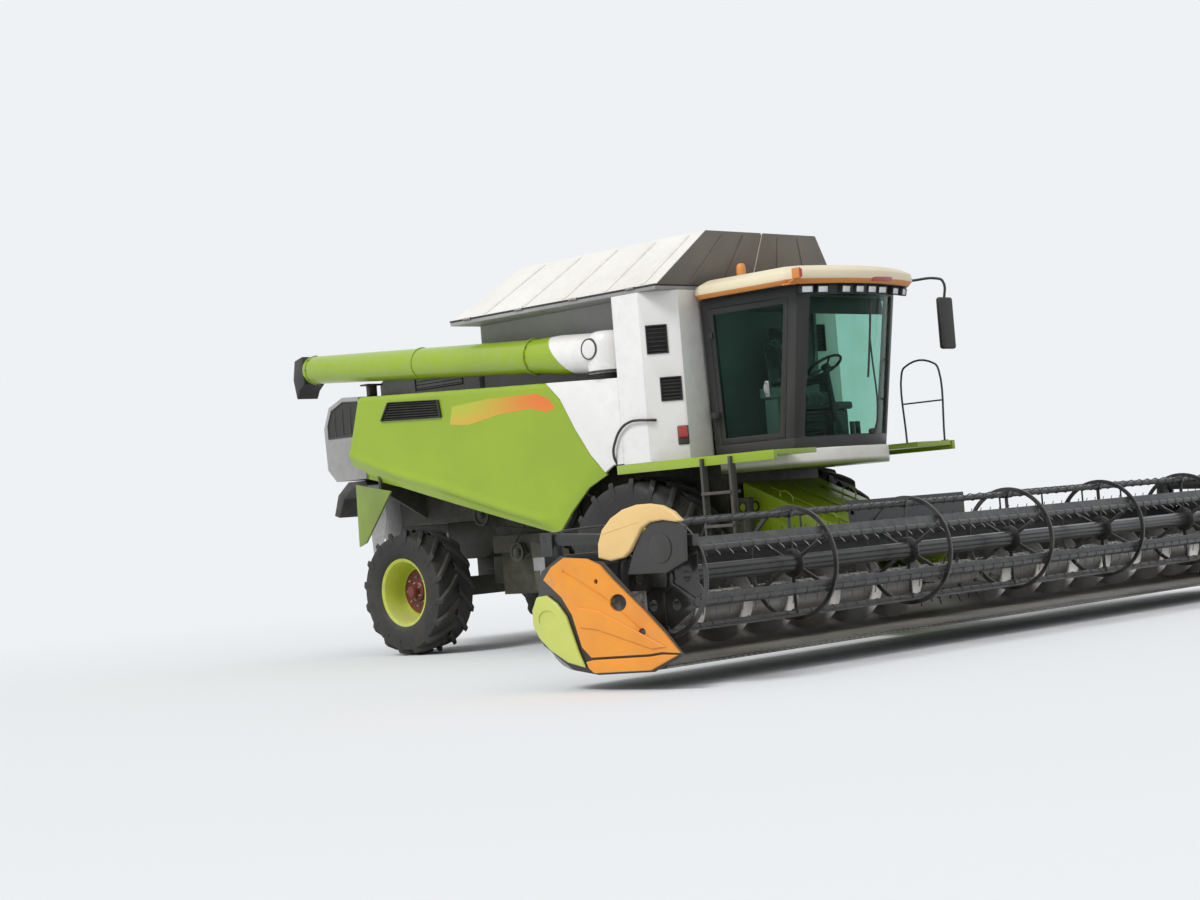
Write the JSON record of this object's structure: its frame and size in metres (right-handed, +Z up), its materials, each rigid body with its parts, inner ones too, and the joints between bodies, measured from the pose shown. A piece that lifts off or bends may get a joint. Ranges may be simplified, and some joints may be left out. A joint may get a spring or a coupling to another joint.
{
  "type": "combine harvester",
  "caption": "Wheeled combine harvester with a wide cutterbar header and reel, glazed cab, covered grain tank and swung-back unloading tube.",
  "frame": {"origin": "on the ground under the middle of the machine's bounding box", "axes": "+X forward, +Y to the machine's left, +Z up"},
  "size_m": [9.72, 10.4, 4.3],
  "materials": {
    "green": "gloss lime green paint",
    "white": "satin white paint",
    "grey": "satin grey paint",
    "black": "satin black paint",
    "steel": "worn bare steel",
    "rubber": "matt black rubber",
    "orange": "orange paint",
    "cream": "cream moulded cover",
    "glass": "green tinted glass",
    "seat": "dark woven fabric",
    "rim": "gloss yellow-green paint"
  },
  "bodies": {
    "machine": {"chassis": "black", "front_axle": "black", "rear_axle": "black", "rear_axle_frame": "black", "threshing_body": "grey", "engine_block": "black", "engine_hood": "grey", "straw_hood": "grey", "chopper": "grey", "spreader": "black", "rear_shield_R": "green", "rear_shield_L": "green", "shoulder_R": "white", "shoulder_L": "white", "deck_R": "green", "deck_L": "green", "grain_tank": "grey", "cab_base": "white", "cab_shell": "white", "cab_roof": "cream", "windscreen": "glass", "side_glass_L": "glass", "seat": "seat", "steering_column": "black", "mirror": "black"},
    "front_wheel_R": {"front_tyre_R": "rubber", "front_rim_R": "rim"},
    "knuckle_R": {"knuckle_R": "black"},
    "rear_wheel_R": {"rear_tyre_R": "rubber", "rear_rim_R": "rim"},
    "side_panel_R": {"side_panel_R": "green"},
    "tank_cover_R": {"tank_cover_R": "white"},
    "front_wheel_L": {"front_tyre_L": "rubber", "front_rim_L": "rim"},
    "knuckle_L": {"knuckle_L": "black"},
    "rear_wheel_L": {"rear_tyre_L": "rubber", "rear_rim_L": "rim"},
    "side_panel_L": {"side_panel_L": "green"},
    "tank_cover_L": {"tank_cover_L": "white"},
    "door": {"door_frame": "black", "door_glass": "glass"},
    "unloader": {"unload_tube": "green", "unload_spout": "black"},
    "feeder": {"feeder_house": "green", "header_frame": "black", "header_end_R": "orange", "header_end_L": "orange"},
    "auger": {"table_auger": "steel"},
    "knife": {"knife": "steel"},
    "reel_arms": {"reel_arm_R": "black", "reel_arm_L": "black"},
    "reel_carriages": {"reel_carriage_R": "black", "reel_carriage_L": "black", "reel_drive_guard": "cream"},
    "reel": {"reel": "black"}
  },
  "joints": [
    {"name": "front_wheel_R", "type": "hinge", "parent": "machine", "child": "front_wheel_R", "pos_m": [0.74, -1.275, 0.9], "axis": [0, 1, 0], "continuous": true},
    {"name": "steer_R", "type": "hinge", "parent": "machine", "child": "knuckle_R", "pos_m": [-3.06, -0.84, 0.73], "axis": [0, 0, 1], "range_deg": [-40, 40]},
    {"name": "rear_wheel_R", "type": "hinge", "parent": "knuckle_R", "child": "rear_wheel_R", "pos_m": [-3.06, -1.25, 0.73], "axis": [0, 1, 0], "continuous": true},
    {"name": "side_panel_R", "type": "hinge", "parent": "machine", "child": "side_panel_R", "pos_m": [0.6, -1.5, 2.858], "axis": [-0.9988, 0, 0.0494], "range_deg": [0, 70]},
    {"name": "tank_cover_R", "type": "hinge", "parent": "machine", "child": "tank_cover_R", "pos_m": [0.74, -1.5, 3.7403], "axis": [1, 0, 0], "range_deg": [0, 95]},
    {"name": "front_wheel_L", "type": "hinge", "parent": "machine", "child": "front_wheel_L", "pos_m": [0.74, 1.275, 0.9], "axis": [0, 1, 0], "continuous": true},
    {"name": "steer_L", "type": "hinge", "parent": "machine", "child": "knuckle_L", "pos_m": [-3.06, 0.84, 0.73], "axis": [0, 0, 1], "range_deg": [-40, 40]},
    {"name": "rear_wheel_L", "type": "hinge", "parent": "knuckle_L", "child": "rear_wheel_L", "pos_m": [-3.06, 1.25, 0.73], "axis": [0, 1, 0], "continuous": true},
    {"name": "side_panel_L", "type": "hinge", "parent": "machine", "child": "side_panel_L", "pos_m": [0.6, 1.5, 2.858], "axis": [0.9988, 0, -0.0494], "range_deg": [0, 70]},
    {"name": "tank_cover_L", "type": "hinge", "parent": "machine", "child": "tank_cover_L", "pos_m": [0.74, 1.5, 3.7403], "axis": [-1, 0, 0], "range_deg": [0, 95]},
    {"name": "door", "type": "hinge", "parent": "machine", "child": "door", "pos_m": [1.48, -0.8934, 2.06], "axis": [0, 0, -1], "range_deg": [0, 90]},
    {"name": "unloader_swing", "type": "hinge", "parent": "machine", "child": "unloader", "pos_m": [0.44, -1.34, 2.93], "axis": [0, 0, 1], "range_deg": [0, 95]},
    {"name": "feeder_lift", "type": "hinge", "parent": "machine", "child": "feeder", "pos_m": [1.69, 0, 1.4], "axis": [0, -1, 0], "range_deg": [-2, 22]},
    {"name": "table_auger", "type": "hinge", "parent": "feeder", "child": "auger", "pos_m": [3.54, 0, 0.53], "axis": [0, 1, 0], "continuous": true},
    {"name": "knife_stroke", "type": "slide", "parent": "feeder", "child": "knife", "axis": [0, 1, 0], "range_m": [-0.04, 0.04]},
    {"name": "reel_lift", "type": "hinge", "parent": "feeder", "child": "reel_arms", "pos_m": [3.17, 0, 1.26], "axis": [0, -1, 0], "range_deg": [-3, 28]},
    {"name": "reel_fore_aft", "type": "slide", "parent": "reel_arms", "child": "reel_carriages", "axis": [0.9988, 0, -0.0479], "range_m": [0, 0.28]},
    {"name": "reel_spin", "type": "hinge", "parent": "reel_carriages", "child": "reel", "pos_m": [4.36, 0, 0.89], "axis": [0, 1, 0], "continuous": true}
  ],
  "couplings": [
    {"joint": "steer_L", "follows": "steer_R", "ratio": 1}
  ]
}
